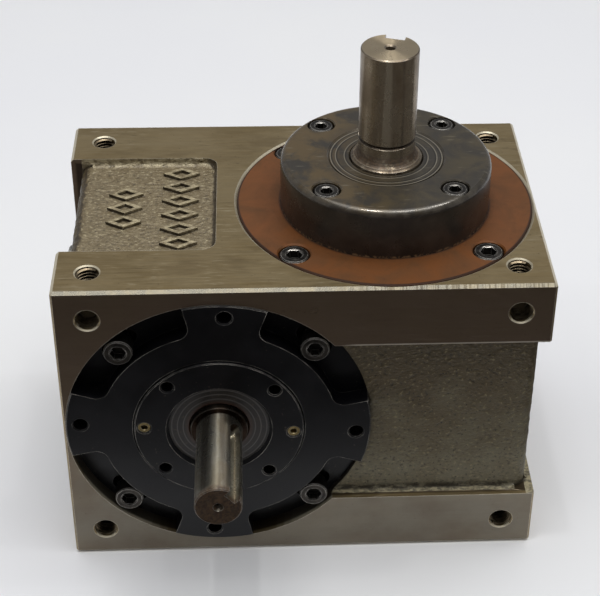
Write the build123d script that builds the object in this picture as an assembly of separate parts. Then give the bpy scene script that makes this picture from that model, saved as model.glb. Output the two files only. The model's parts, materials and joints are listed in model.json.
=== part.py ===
from build123d import *
import os
from math import atan2, cos, hypot, pi, radians, sin, sqrt, tan

# A right-angle roller-gear-cam indexing drive, in millimetres.
# The origin is on the output shaft's axis, in the plane of the feet. +Z runs up the output shaft.
# The input shaft lies along Y, one centre distance to the left, and comes out of the -Y face.

# ---- driving dimensions -------------------------------------------------------------------------
CENTRE_DISTANCE = 60.0
WIDTH = 108.0                      # along Y
HEIGHT = 118.0                     # feet to top face
LENGTH = CENTRE_DISTANCE + WIDTH   # along X: half a width beyond each axis
FRONT, BACK = -WIDTH / 2, WIDTH / 2
LEFT, RIGHT = -CENTRE_DISTANCE - WIDTH / 2, WIDTH / 2
INPUT_Z = HEIGHT / 2

EDGE_CHAMFER = 1.0
CORNER_CHAMFER = 0.7
RAIL_HEIGHT = 24.0                 # machined rails above and below the side pockets
RAIL_WIDTH = 24.0                  # machined rails in front of and behind the top pocket
SIDE_POCKET = 4.5
END_POCKET = 3.0
LEFT_POCKET = 4.0
TOP_POCKET = 3.0
TOP_POCKET_LENGTH = 54.0
CAST_CORNER = 4.0                  # rounding of the cast end's upright edges
CAST_FILLET = 2.0
MARK_HEIGHT = 1.1

M8_INSET = 11.5
M8_R = 4.0                         # thread's nominal radius, in the top and front
M8_DRILL_R = 3.4                   # tap drill's radius, in the base and back
M8_DEPTH = 16.0
M8_MOUTH = 4.45

REGISTER_R = 53.0                  # input and rear flanges
OUTPUT_REGISTER_R = 52.7
REGISTER_DEPTH = 11.0
BORE_R = 41.0
SLIP = 0.1                         # flange in its register
SEAT_SLIP = 0.03                   # bearing ring on its seat
FLANGE_SCREW_PCD = 94.0

# flanges on the input axis; depths run inward from the housing's face
FLANGE_LENGTH = 27.0
FLANGE_PROUD = 0.6
FLANGE_TURN = -3.4                 # the flanges are clocked a little, to set the cam's mesh
SCALLOP_ROOT = 41.2
SCALLOP_ANGLE = 59.0
SCALLOP_DEPTH = 6.3
SCALLOP_FILLET = 4.5
COVER_R = 30.0
COVER_DEPTH = 8.0
COVER_PROUD = 1.4
COVER_GROOVE = 0.5                 # open groove round the cover
COVER_SCREW_SEAT = 2.0
COVER_PCD = 52.0
SPOKE_HOLE_PCD = 96.0
INPUT_BEARING = dict(bore=20.0, outside=47.0, width=14.0, count=15)
INPUT_BEARING_AT = 12.0

# output side; heights are above the feet
CAP_R = 37.2
CAP_TOP = HEIGHT + 18.4
CAP_FILLET = 2.6
CAP_SCREW_PCD = 62.0
OUTPUT_BEARING = dict(bore=25.0, outside=52.0, width=15.0, count=17)
UPPER_BEARING_Z = 97.0
LOWER_BEARING_Z = 6.0
FLOOR_Z = 27.0
BOTTOM_COVER_R = 38.0
BOTTOM_COVER_PCD = 66.0
OUTPUT_TOP = 178.5
INPUT_REACH = 40.0                 # free shaft in front of the housing

# cam and turret
STATIONS = 8
CAM_RATIO = -1.0 / STATIONS        # turret turn for each turn of the cam
ROLLER_R = 6.5
ROLLER_FROM, ROLLER_TO = 30.2, 39.2
TURRET_R = 29.0
TURRET_FROM, TURRET_TO = 46.0, 72.0
RIB_TIP = 30.2                     # from the output axis
CAM_ROOT = 40.9
CAM_R = 38.5
CAM_HALF_LENGTH = 25.5
RIB_PLAY = 0.15
SECTION_STEP = 24.0

SCREWS = {                         # head radius, head height, hex across flats, shank radius
    "M3": (2.25, 3.0, 2.0, 1.45),  # the small head
    "M5": (4.25, 5.0, 4.0, 2.4),
    "M6": (5.0, 6.0, 5.0, 2.9),
}

# ---- frames: local +Z points inward for the flanges, outward for the screws ---------------------
INPUT_FRONT = Pos(-CENTRE_DISTANCE, FRONT, INPUT_Z) * Rot(X=-90)
INPUT_REAR = Pos(-CENTRE_DISTANCE, BACK, INPUT_Z) * Rot(X=90)


# ---- helpers ------------------------------------------------------------------------------------
def tube(outer, low, high, inner=0.0):
    """A cylinder about local Z from low to high, hollow if inner is given."""
    body = Pos(0, 0, low) * Cylinder(outer, high - low, align=(Align.CENTER, Align.CENTER, Align.MIN))
    if inner:
        body -= Pos(0, 0, low - 1) * Cylinder(
            inner, high - low + 2, align=(Align.CENTER, Align.CENTER, Align.MIN))
    return body


def turned(points):
    """The solid that the (radius, height) outline makes when it turns about local Z."""
    outline = Plane.XZ * make_face(Polyline(*points, close=True))
    return revolve(outline, Axis.Z)


def cone(low_r, high_r, low, high):
    return Pos(0, 0, (low + high) / 2) * Cone(low_r, high_r, high - low)


def block(x0, x1, y0, y1, z0, z1):
    return Pos((x0 + x1) / 2, (y0 + y1) / 2, (z0 + z1) / 2) * Box(x1 - x0, y1 - y0, z1 - z0)


def on_circle(pcd, count, first=45.0):
    return [Pos(pcd / 2 * cos(radians(a)), pcd / 2 * sin(radians(a)), 0)
            for a in (first + 360.0 / count * i for i in range(count))]


def on_rectangle(x0, x1, y0, y1):
    return [(x, y) for x in (x0, x1) for y in (y0, y1)]


def cap_screw(size, length):
    """A socket head cap screw: the head stands on local z 0, the shank hangs below it."""
    head_r, head_h, flats, shank_r = SCREWS[size]
    head = chamfer(tube(head_r, 0, head_h).edges().sort_by(Axis.Z)[-1], head_r * 0.08)
    socket = Pos(0, 0, head_h * 0.45) * extrude(RegularPolygon(flats / 2, 6, major_radius=False), head_h)
    lead = cone(flats / 2, flats / 2 * 1.22, head_h - 0.35, head_h)
    return head + tube(shank_r, -length, 0) - socket - lead


def countersunk_screw(size, length):
    """A flat-headed socket screw with its face on local z 0."""
    head_r, _, flats, shank_r = SCREWS[size]
    sink = head_r - shank_r
    socket = Pos(0, 0, -sink) * extrude(RegularPolygon(flats / 2 * 0.85, 6, major_radius=False), sink + 1)
    return cone(shank_r, head_r, -sink, 0) + tube(shank_r, -length, -sink / 2) - socket


def o_ring(centre_r, height, section=1.0):
    return Pos(0, 0, height) * Torus(centre_r, section)


def tapped_mouth(radius, wide, depth):
    """The hole cut by a tap drill, with its countersunk mouth at local z 0, going down."""
    lip = wide - radius
    return tube(radius, -depth, 0.5) + cone(radius, wide + 0.5, -lip, 0.5)


# ---- housing ------------------------------------------------------------------------------------
def side_pocket(side):
    """The cast pocket in the front (-1) or back (1) face, open towards the right."""
    face = FRONT if side < 0 else BACK
    y0, y1 = sorted((face - side * SIDE_POCKET, face + side * 3))
    body = block(-CENTRE_DISTANCE + 20, RIGHT + 6, y0, y1, RAIL_HEIGHT, HEIGHT - RAIL_HEIGHT)
    inner = [e for e in body.edges().filter_by(Axis.X) if abs(e.center().Y) < BACK]
    return fillet(inner, CAST_FILLET)


def end_pocket():
    """The cast pocket that runs across the whole right end."""
    body = block(RIGHT - END_POCKET, RIGHT + 6, FRONT - 6, BACK + 6, RAIL_HEIGHT, HEIGHT - RAIL_HEIGHT)
    return fillet([e for e in body.edges().filter_by(Axis.Y) if e.center().X < RIGHT], CAST_FILLET)


def rail_pocket(z0, z1, floor_z):
    """The cast pocket between the rails of the top or bottom face, open towards the left."""
    body = block(LEFT - 1, LEFT + TOP_POCKET_LENGTH, FRONT + RAIL_WIDTH, BACK - RAIL_WIDTH, z0, z1)
    body = fillet(body.edges().filter_by(Axis.Z).group_by(Axis.X)[-1], 5)
    floor = [e for e in body.edges() if abs(e.center().Z - floor_z) < 0.01 and e.center().X > LEFT]
    return fillet(floor, CAST_FILLET)


def raised_marks():
    """Two rows of plain cast lozenge frames on the floor of the top pocket."""
    marks = []
    for x, count, size in ((LEFT + 41, 6, 6.6), (LEFT + 21.5, 3, 6.2)):
        outer = Polyline((-size, 0), (0, -3.7), (size, 0), (0, 3.7), close=True)
        inner = Polyline((-size + 2.7, 0), (0, -2.2), (size - 2.7, 0), (0, 2.2), close=True)
        frame = extrude(make_face(outer), MARK_HEIGHT + 0.5) - Pos(0, 0, 0.5) * extrude(make_face(inner), MARK_HEIGHT)
        for i in range(count):
            y = (i - (count - 1) / 2) * 9.0
            marks.append(Pos(x, y, HEIGHT - TOP_POCKET - 0.5) * frame)
    return marks


def make_housing():
    body = block(LEFT, RIGHT, FRONT, BACK, 0, HEIGHT)
    body = chamfer(body.edges().filter_by(Axis.Z), CORNER_CHAMFER)
    body = chamfer(body.faces().filter_by(Axis.Z).edges(), EDGE_CHAMFER)
    # cast pockets
    body -= side_pocket(-1) + side_pocket(1) + end_pocket()
    body -= block(LEFT - 1, LEFT + LEFT_POCKET, FRONT + RAIL_WIDTH, BACK - RAIL_WIDTH, -1, HEIGHT + 1)
    body -= rail_pocket(HEIGHT - TOP_POCKET, HEIGHT + 1, HEIGHT - TOP_POCKET)
    body -= rail_pocket(-1, TOP_POCKET, TOP_POCKET)
    body += raised_marks()
    # rounded outer edges of the cast pockets
    wall = LEFT + LEFT_POCKET
    for floor, down in ((HEIGHT - TOP_POCKET, -1), (TOP_POCKET, 1)):
        ends = sorted((floor - down, floor + down * CAST_CORNER))
        edge = block(wall - 1, wall + CAST_CORNER, FRONT + RAIL_WIDTH, BACK - RAIL_WIDTH, *ends)
        axis = Pos(wall + CAST_CORNER, 0, floor + down * CAST_CORNER) * Rot(X=90)
        body -= edge - axis * tube(CAST_CORNER, -WIDTH / 2, WIDTH / 2)
    for side in (-1, 1):
        corner = side * (BACK - SIDE_POCKET - CAST_CORNER)
        middle = RIGHT - END_POCKET - CAST_CORNER
        ends = sorted((corner, side * BACK))
        edge = block(middle, RIGHT, *ends, RAIL_HEIGHT, HEIGHT - RAIL_HEIGHT)
        body -= edge - Pos(middle, corner, 0) * tube(CAST_CORNER, 0, HEIGHT)
    # bores along the input axis
    body -= INPUT_FRONT * tube(BORE_R, -1, WIDTH + 1)
    for frame in (INPUT_FRONT, INPUT_REAR):
        body -= frame * tube(REGISTER_R + SLIP, -1, REGISTER_DEPTH)
        for spot in on_circle(FLANGE_SCREW_PCD, 4):
            body -= frame * spot * tube(3.0, REGISTER_DEPTH - 1, REGISTER_DEPTH + 7)
    # bore, lower bearing seat and registers on the output axis
    body -= tube(BORE_R, FLOOR_Z, HEIGHT + 1)
    body -= tube(OUTPUT_REGISTER_R + SLIP, HEIGHT - REGISTER_DEPTH, HEIGHT + 1)
    body -= cone(OUTPUT_REGISTER_R, OUTPUT_REGISTER_R + 1, HEIGHT - 0.9, HEIGHT + 0.1)
    body -= tube(22.0, 1, FLOOR_Z + 1)
    body -= tube(OUTPUT_BEARING["outside"] / 2 + SEAT_SLIP, 1, LOWER_BEARING_Z + OUTPUT_BEARING["width"])
    body -= tube(BOTTOM_COVER_R + SLIP, -1, LOWER_BEARING_Z)
    for spot in on_circle(FLANGE_SCREW_PCD, 4):
        body -= spot * tube(3.0, HEIGHT - REGISTER_DEPTH - 11, HEIGHT - REGISTER_DEPTH + 1)
    for spot in on_circle(BOTTOM_COVER_PCD, 4):
        body -= spot * tube(2.5, LOWER_BEARING_Z - 1, LOWER_BEARING_Z + 11)
    # tapped mounting holes in the top, feet, front and back faces
    hole = tapped_mouth(M8_R, M8_MOUTH, M8_DEPTH)
    drilled = tapped_mouth(M8_DRILL_R, M8_DRILL_R + 0.45, M8_DEPTH)
    xs = (LEFT + M8_INSET, RIGHT - M8_INSET)
    for x, y in on_rectangle(*xs, FRONT + M8_INSET, BACK - M8_INSET):
        body -= Pos(x, y, HEIGHT) * hole
        body -= Pos(x, y, 0) * Rot(X=180) * drilled
    for x, z in on_rectangle(*xs, M8_INSET, HEIGHT - M8_INSET):
        body -= Pos(x, FRONT, z) * Rot(X=90) * hole
        body -= Pos(x, BACK, z) * Rot(X=-90) * drilled
    # oil plug holes through the left wall
    for z in PLUG_HEIGHTS.values():
        body -= plug_frame(z) * tube(PLUG_HOLE_R, -40, 1)
    return body


# ---- flanges on the input axis --------------------------------------------------------------------
def scallop():
    """One of the four bays in the flange's rim that hold the screw heads."""
    half = radians(SCALLOP_ANGLE / 2)
    far = REGISTER_R + 4
    root = [Vector(SCALLOP_ROOT * cos(a), SCALLOP_ROOT * sin(a)) for a in (-half, 0, half)]
    rim = [Vector(far * cos(a), far * sin(a)) for a in (half, 0, -half)]
    outline = ThreePointArc(*root) + Line(root[2], rim[0]) + ThreePointArc(*rim) + Line(rim[2], root[0])
    body = Pos(0, 0, -2) * extrude(make_face(outline), SCALLOP_DEPTH + 2)
    inner = [e for e in body.edges().filter_by(Axis.Z) if hypot(e.center().X, e.center().Y) < REGISTER_R]
    return fillet(inner, SCALLOP_FILLET)


def arc_slot(radius, half_width, half_angle, low, high):
    """A slot that follows a circle about local Z, centred on local +X."""
    a = radians(half_angle)
    ring = tube(radius + half_width, low, high, radius - half_width)
    reach = radius + 10
    wedge = make_face(Polyline((0, 0), (reach, -reach * tan(a)), (reach, reach * tan(a)), close=True))
    body = ring & (Pos(0, 0, low - 1) * extrude(wedge, high - low + 2))
    for t in (-a, a):
        body += Pos(radius * cos(t), radius * sin(t), 0) * tube(half_width, low, high)
    return body


def bearing_flange(spoke_holes):
    """The scalloped flange that seats one input bearing. Local z 0 is the housing's face."""
    body = chamfer(tube(REGISTER_R, -FLANGE_PROUD, REGISTER_DEPTH - SLIP).edges().sort_by(Axis.Z)[0], 0.3)
    body += tube(BORE_R - SLIP, 5, FLANGE_LENGTH)
    seat = INPUT_BEARING["outside"] / 2 + SEAT_SLIP
    body -= tube(COVER_R + 0.05, -2, COVER_DEPTH)
    body -= tube(19.5, COVER_DEPTH - 1, INPUT_BEARING_AT + 1)
    body -= tube(seat, INPUT_BEARING_AT, FLANGE_LENGTH + 1)
    body -= tube(BORE_R + 1, 15.0, 17.6, BORE_R - 2.15)
    for quarter in range(4):
        turn = Rot(Z=-FLANGE_TURN + 45 + 90 * quarter)
        body -= turn * scallop()
        body -= Rot(Z=45 + 90 * quarter) * arc_slot(FLANGE_SCREW_PCD / 2, 3.3, 5, 0, REGISTER_DEPTH + 1)
    for spot in on_circle(SPOKE_HOLE_PCD, 4, -FLANGE_TURN) if spoke_holes else ():
        body -= spot * Pos(0, 0, -FLANGE_PROUD) * Rot(X=180) * tapped_mouth(2.5, 2.95, 12)
    for spot in on_circle(COVER_PCD, 2, -FLANGE_TURN):
        body -= spot * tube(1.5, COVER_DEPTH - 1, COVER_DEPTH + 3.5)
    return body


def seal_cover(open_bore):
    """The round cover in the middle of a bearing flange, bored for the oil seal or blank."""
    body = chamfer(tube(COVER_R - COVER_GROOVE, -COVER_PROUD, 3.0).edges().sort_by(Axis.Z)[0], 0.3)
    body += tube(COVER_R, 1.8, COVER_DEPTH - 0.05)
    if open_bore:
        body -= tube(17.5 + SEAT_SLIP, -COVER_PROUD - 1, 7.0)
        body -= tube(12.5, 6, 9)
        body -= cone(18.6, 17.4, -COVER_PROUD - 0.1, 0.4)
    else:
        body -= tube(12.5, 5, 9)
    for spot in on_circle(COVER_PCD, 4, 45 - FLANGE_TURN) if open_bore else ():
        body -= spot * Pos(0, 0, -COVER_PROUD) * Rot(X=180) * tapped_mouth(2.15, 2.6, 7)
    for spot in on_circle(COVER_PCD, 2, -FLANGE_TURN):
        body -= spot * (tube(2.32, -COVER_PROUD - 1, COVER_SCREW_SEAT) + tube(1.6, 0, COVER_DEPTH + 1))
        body -= spot * cone(2.75, 2.32, -COVER_PROUD - 0.1, -COVER_PROUD + 0.33)
    return body


def oil_seal(shaft_r, outside_r, low, high):
    """A lip seal. Its lip runs round the shaft; its outer face is at low."""
    lip = shaft_r + 0.1
    return turned([(outside_r, low), (outside_r, high), (outside_r - 1.2, high), (outside_r - 1.2, low + 1.6),
                   (lip + 2.2, low + 1.6), (lip + 1.4, high - 1.2), (lip + 0.2, high - 2.4), (lip, high - 2.9),
                   (lip + 1.0, low + 1.4), (lip + 0.2, low + 0.5), (lip + 0.6, low)])


# ---- tapered roller bearings ------------------------------------------------------------------------
TAPER = 12.0


def bearing_parts(bore, outside, width, count):
    """(cup, cone, cage and rollers) of a tapered roller bearing from z 0 to its width; the cup opens upward."""
    mean = (bore + outside) / 4 + 0.4
    roller_r = (outside - bore) / 2 * 0.24
    slope = tan(radians(TAPER))
    gap = (roller_r + 0.12) / cos(radians(TAPER))

    def race(side, z):
        return mean + side * gap + (z - width / 2) * slope

    half = width * 0.36
    lip_low, lip_high = width / 2 - half - 0.4, width / 2 + half + 0.4
    cup = turned([(outside / 2, 0.6), (outside / 2, width), (race(1, width), width), (race(1, 0.6), 0.6)])
    cone_ring = turned([
        (bore / 2 + SEAT_SLIP, 0), (race(-1, 0) + 1.0, 0), (race(-1, lip_low) + 1.0, lip_low),
        (race(-1, lip_low), lip_low), (race(-1, lip_high), lip_high), (race(-1, lip_high) + 1.8, lip_high),
        (race(-1, lip_high) + 1.8, width), (bore / 2 + SEAT_SLIP, width)])
    rollers = []
    keep_clear = []
    for i in range(count):
        place = Rot(Z=360.0 / count * i) * Pos(mean, 0, width / 2) * Rot(Y=TAPER)
        rollers.append(place * Cylinder(roller_r, 2 * half - 0.5))
        keep_clear.append(place * Cylinder(roller_r + 0.1, 2 * half - 0.3))
    z0, z1 = width / 2 - half - 1.0, width / 2 + half + 1.2
    plate = 0.45
    cage = turned([(race(0, z0) - plate, z0), (race(0, z0) + plate, z0),
                   (race(0, z1) + plate, z1), (race(0, z1) - plate, z1)])
    cage -= turned([(race(-1, z0) - 3, lip_low - 2), (race(-1, lip_low) + 1.25, lip_low - 2),
                    (race(-1, lip_low) + 1.25, lip_low + 0.2), (race(-1, lip_low) - 3, lip_low + 0.2)])
    cage -= turned([(race(-1, z0) - 3, lip_high - 0.2), (race(-1, lip_high) + 2.05, lip_high - 0.2),
                    (race(-1, lip_high) + 2.05, z1 + 1), (race(-1, z0) - 3, z1 + 1)])
    for one in keep_clear:
        cage -= one
    return cup, cone_ring, [cage] + rollers


# ---- input shaft, cam and what turns with them ----------------------------------------------------
CAM_SEAT_R = 13.0
SHAFT_SHOULDER = (INPUT_BEARING_AT + INPUT_BEARING["width"], WIDTH - INPUT_BEARING_AT - INPUT_BEARING["width"])
CAM_KEY = dict(width=6.0, low=9.5, high=15.5, length=30.0)


def keyway(width, floor, reach, start, end, round_end):
    """A key slot on local +X from start to end; round_end says which end is milled round."""
    slot = block(floor, reach, -width / 2, width / 2, start, end)
    middle = start if round_end == "start" else end
    tip = Pos(0, 0, middle) * Rot(Y=90) * tube(width / 2, floor, reach)
    return slot + tip


def make_input_shaft():
    seat = INPUT_BEARING["bore"] / 2
    low, high = SHAFT_SHOULDER
    body = Rot(Z=20) * turned([
        (0, -INPUT_REACH), (7.6, -INPUT_REACH), (8, -INPUT_REACH + 0.4), (8, -1.6), (seat - 0.25, -1.6),
        (seat, -1.35), (seat, low), (CAM_SEAT_R, low), (CAM_SEAT_R, high), (seat, high),
        (seat, WIDTH - 8.4), (0, WIDTH - 8.4)])
    body -= Rot(Z=-42) * keyway(5.0, 5.0, 9.0, -INPUT_REACH - 1, -7.5, "end")
    body -= cone(1.8, 0.8, -INPUT_REACH - 0.01, -INPUT_REACH + 1.7)
    body -= tube(0.8, -INPUT_REACH - 0.01, -INPUT_REACH + 4)
    half = CAM_KEY["length"] / 2
    body -= block(CAM_KEY["low"], CAM_SEAT_R + 2, -3.02, 3.02, WIDTH / 2 - half - 0.05, WIDTH / 2 + half + 0.05)
    return body


def rib_offset(radius):
    """How far the rib's flank stays from a roller's axis, measured in the plane of the rollers."""
    lead = atan2(abs(CAM_RATIO) * radius, CENTRE_DISTANCE - radius)
    return ROLLER_R / cos(lead) + RIB_PLAY


def rib_section(around):
    """The rib's outline in the half-plane at the angle around the cam's axis, in degrees."""
    half_pitch = pi / STATIONS
    low, high = RIB_TIP, CAM_ROOT + 1.2
    corners = []
    for radius, side in ((low, 1), (high, 1), (high, -1), (low, -1)):
        along, across = radius, rib_offset(min(radius, CAM_ROOT))
        x = along * cos(half_pitch) + across * sin(half_pitch)
        y = side * (along * sin(half_pitch) - across * cos(half_pitch))
        corners.append((-x, y))
    turn = radians(-CAM_RATIO * around)
    spin = radians(around)
    places = []
    for x, y in corners:
        x, y = x * cos(turn) - y * sin(turn), x * sin(turn) + y * cos(turn)
        rho = x + CENTRE_DISTANCE
        places.append(Vector(-CENTRE_DISTANCE + rho * cos(spin), y, INPUT_Z - rho * sin(spin)))
    return Wire.make_polygon(places, close=True)


def make_cam():
    steps = int(416 / SECTION_STEP) + 1
    rib = Solid.make_loft([rib_section(SECTION_STEP * i) for i in range(-steps, steps + 1)], ruled=False)
    end_r = CENTRE_DISTANCE - sqrt(CAM_ROOT ** 2 - CAM_HALF_LENGTH ** 2)
    waist = CENTRE_DISTANCE - CAM_ROOT
    inner = CAM_SEAT_R + SEAT_SLIP
    h = CAM_HALF_LENGTH
    outline = (Line((inner, -h), (end_r, -h)) + ThreePointArc((end_r, -h), (waist, 0), (end_r, h))
               + Line((end_r, h), (inner, h)) + Line((inner, h), (inner, -h)))
    axis = Pos(-CENTRE_DISTANCE, 0, INPUT_Z)
    core = axis * revolve(make_face(outline), Axis.Y)
    envelope = axis * Rot(X=90) * (Cylinder(CAM_R, 2 * h) - Cylinder(inner, 2 * h + 2))
    body = core + (rib & envelope)
    return body - INPUT_FRONT * block(0, CAM_KEY["high"] + 0.2, -3.03, 3.03, 0, WIDTH)


def make_cam_key():
    half = CAM_KEY["length"] / 2 - 0.05
    return block(CAM_KEY["low"] + 0.02, CAM_KEY["high"], -3, 3, WIDTH / 2 - half, WIDTH / 2 + half)


def make_cam_spacers():
    low, high = SHAFT_SHOULDER
    ends = WIDTH / 2 - CAM_HALF_LENGTH, WIDTH / 2 + CAM_HALF_LENGTH
    inner = CAM_SEAT_R + SEAT_SLIP
    return [tube(17, low + 0.1, ends[0] - 0.02, inner), tube(17, ends[1] + 0.02, high - 0.1, inner)]


def make_lock_nut():
    """The slotted nut that sets the bearings' preload, behind the rear bearing."""
    low = WIDTH - INPUT_BEARING_AT + 0.05
    body = chamfer(tube(14.5, low, low + 3.5, INPUT_BEARING["bore"] / 2 + SEAT_SLIP).edges()
                   .filter_by(GeomType.CIRCLE).sort_by(Axis.Z)[-1], 0.3)
    for quarter in range(4):
        body -= Rot(Z=90 * quarter) * block(12.6, 16, -2, 2, low - 1, low + 5)
    return body


# ---- output shaft, turret and what turns with them ------------------------------------------------
TURRET_SEAT_R = 16.0
CIRCLIP = dict(low=TURRET_TO + 0.1, high=TURRET_TO + 1.7, root=15.2, outside=18.6)
TURRET_KEY = dict(width=8.0, low=12.0, high=18.6, length=22.0)


def make_output_shaft():
    seat = OUTPUT_BEARING["bore"] / 2
    lower_top = LOWER_BEARING_Z + OUTPUT_BEARING["width"]
    shoulder = CAP_TOP + 0.9
    neck = shoulder + 6.6
    body = turned([
        (0, 5.6), (seat - 0.6, 5.6), (seat, 6.2), (seat, lower_top), (TURRET_SEAT_R, lower_top),
        (TURRET_SEAT_R, 38), (20, 38), (20, TURRET_FROM - 0.05), (TURRET_SEAT_R, TURRET_FROM - 0.05),
        (TURRET_SEAT_R, CIRCLIP["low"] - 0.05), (CIRCLIP["root"], CIRCLIP["low"] - 0.05),
        (CIRCLIP["root"], CIRCLIP["high"] + 0.05), (TURRET_SEAT_R, CIRCLIP["high"] + 0.05),
        (TURRET_SEAT_R, UPPER_BEARING_Z), (seat, UPPER_BEARING_Z), (seat, shoulder - 0.8),
        (seat - 0.5, shoulder - 0.4), (seat - 0.8, shoulder), (11.3, shoulder), (10.7, shoulder + 0.5),
        (10.25, shoulder + 1.5), (10, shoulder + 3.0), (10, neck), (9.55, neck + 0.4), (9.55, neck + 1.1),
        (10, neck + 1.5), (10, OUTPUT_TOP - 0.4), (9.6, OUTPUT_TOP), (0, OUTPUT_TOP)])
    body -= Rot(Z=73) * keyway(7.0, 6.5, 12.0, OUTPUT_TOP - 28, OUTPUT_TOP + 1, "start")
    body -= tube(1.65, OUTPUT_TOP - 12, OUTPUT_TOP + 1) + cone(1.65, 2.1, OUTPUT_TOP - 0.45, OUTPUT_TOP + 0.01)
    half = TURRET_KEY["length"] / 2 + 0.05
    middle = (TURRET_FROM + TURRET_TO) / 2
    return body - block(TURRET_KEY["low"], TURRET_SEAT_R + 2, -4.02, 4.02, middle - half, middle + half)


def follower_places():
    """The frames of the rollers: local +Z runs out along each roller's own axis."""
    pitch = 360.0 / STATIONS
    return [Rot(Z=pitch * (i + 0.5)) * Pos(0, 0, INPUT_Z) * Rot(Y=90) for i in range(STATIONS)]


def make_turret():
    body = tube(TURRET_R, TURRET_FROM, TURRET_TO, TURRET_SEAT_R + SEAT_SLIP)
    body = chamfer(body.edges().filter_by(GeomType.CIRCLE).group_by(SortBy.RADIUS)[-1], 1.2)
    body -= block(0, TURRET_KEY["high"] + 0.2, -4.03, 4.03, TURRET_FROM - 1, TURRET_TO + 1)
    for place in follower_places():
        body -= place * tube(4.03, 21, TURRET_R + 2)
    return body


def make_turret_key():
    half = TURRET_KEY["length"] / 2
    middle = (TURRET_FROM + TURRET_TO) / 2
    return block(TURRET_KEY["low"] + 0.02, TURRET_KEY["high"], -4, 4, middle - half, middle + half)


def make_circlip():
    body = tube(CIRCLIP["outside"], CIRCLIP["low"], CIRCLIP["high"], CIRCLIP["root"] + 0.05)
    return body - block(0, 30, -3.5, 3.5, CIRCLIP["low"] - 1, CIRCLIP["high"] + 1)


def make_follower_stud():
    """The stud that a roller turns on: root in the turret, collar, journal and end flange."""
    return (tube(4.0, 21.1, TURRET_R + 0.1) + tube(4.6, TURRET_R + 0.12, ROLLER_FROM - 0.12)
            + tube(3.4, TURRET_R, ROLLER_TO + 0.2) + tube(4.6, ROLLER_TO + 0.15, ROLLER_TO + 0.95))


def make_follower_roller():
    body = tube(ROLLER_R, ROLLER_FROM, ROLLER_TO, 3.45)
    return chamfer(body.edges().filter_by(GeomType.CIRCLE).group_by(SortBy.RADIUS)[-1], 0.4)


# ---- output flange, cap and bottom cover ------------------------------------------------------------
def make_output_flange():
    face = HEIGHT
    body = chamfer(tube(OUTPUT_REGISTER_R, HEIGHT - REGISTER_DEPTH + SLIP, face).edges().sort_by(Axis.Z)[-1], 0.3)
    body += tube(BORE_R - SLIP, UPPER_BEARING_Z - 4, HEIGHT - 5)
    body -= tube(OUTPUT_BEARING["outside"] / 2 + SEAT_SLIP, UPPER_BEARING_Z, face + 1)
    body -= tube(21.0, UPPER_BEARING_Z - 5, face)
    body -= tube(BORE_R + 1, 99.0, 101.6, BORE_R - 2.15)
    for spot in on_circle(FLANGE_SCREW_PCD, 4):
        body -= spot * (tube(3.3, 90, face + 1) + tube(5.5, face - 6.3, face + 1))
        body -= spot * cone(5.5, 6.0, face - 0.5, face)
    for spot in on_circle(CAP_SCREW_PCD, 4):
        body -= spot * tube(2.5, face - 11, face + 1)
    return body


def make_output_cap():
    body = fillet(tube(CAP_R, HEIGHT, CAP_TOP).edges().sort_by(Axis.Z)[-1], CAP_FILLET)
    body += tube(OUTPUT_BEARING["outside"] / 2, UPPER_BEARING_Z + OUTPUT_BEARING["width"] + 0.05, HEIGHT + 1)
    body -= tube(21.0, 100, CAP_TOP - 9)
    body -= tube(17.0, 100, CAP_TOP + 1)
    body -= tube(20.0 + SEAT_SLIP, CAP_TOP - 7.4, CAP_TOP + 1)
    body -= cone(20.0, 20.9, CAP_TOP - 0.7, CAP_TOP + 0.01)
    for spot in on_circle(CAP_SCREW_PCD, 4):
        body -= spot * (tube(2.8, 100, CAP_TOP + 1) + tube(4.9, CAP_TOP - 5.4, CAP_TOP + 1))
        body -= spot * cone(4.9, 5.3, CAP_TOP - 0.4, CAP_TOP + 0.01)
    return body


def make_bottom_cover():
    body = tube(BOTTOM_COVER_R, 0, LOWER_BEARING_Z - 0.05)
    body = chamfer(body.edges().sort_by(Axis.Z)[0], 0.5)
    body -= tube(17, 4.6, 7)
    body -= tube(29.6, 3.85, 7, 27.4)
    for spot in on_circle(BOTTOM_COVER_PCD, 4):
        body -= spot * tube(2.55, 0, 7)
        body -= spot * cone(4.6, 2.5, -0.05, 2.05)
    return body


# ---- oil plugs in the left wall ---------------------------------------------------------------------
PLUG_HEIGHTS = {"oil_filler_plug": 90.0, "oil_level_window": INPUT_Z, "oil_drain_plug": 28.0}
PLUG_HOLE_R = 6.6
PLUG_THREAD_R = 6.45
WASHER_THICKNESS = 1.0


def plug_frame(height):
    """Local +Z points out of the left wall."""
    return Pos(LEFT + LEFT_POCKET, 0, height) * Rot(Y=-90)


def make_plug(height):
    head = chamfer(tube(8.5, WASHER_THICKNESS, 3.8).edges().sort_by(Axis.Z)[-1], 0.5)
    socket = Pos(0, 0, -1) * extrude(RegularPolygon(3.0, 6, major_radius=False), 8)
    return plug_frame(height) * (head + tube(PLUG_THREAD_R, -8, WASHER_THICKNESS) - socket)


def make_window_frame():
    body = tube(9.5, WASHER_THICKNESS, 3.8, 5.2) + tube(PLUG_THREAD_R, -8, WASHER_THICKNESS + 0.1, 5.2)
    body = chamfer(body.edges().filter_by(GeomType.CIRCLE).sort_by(Axis.Z)[-1], 0.5)
    return plug_frame(PLUG_HEIGHTS["oil_level_window"]) * (body - tube(5.9, 0.5, 2.6))


def make_window_glass():
    return plug_frame(PLUG_HEIGHTS["oil_level_window"]) * tube(5.85, 0.52, 2.55)


def make_plug_washers():
    return [plug_frame(z) * tube(9.5, 0.02, WASHER_THICKNESS - 0.02, PLUG_HOLE_R) for z in PLUG_HEIGHTS.values()]


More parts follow.
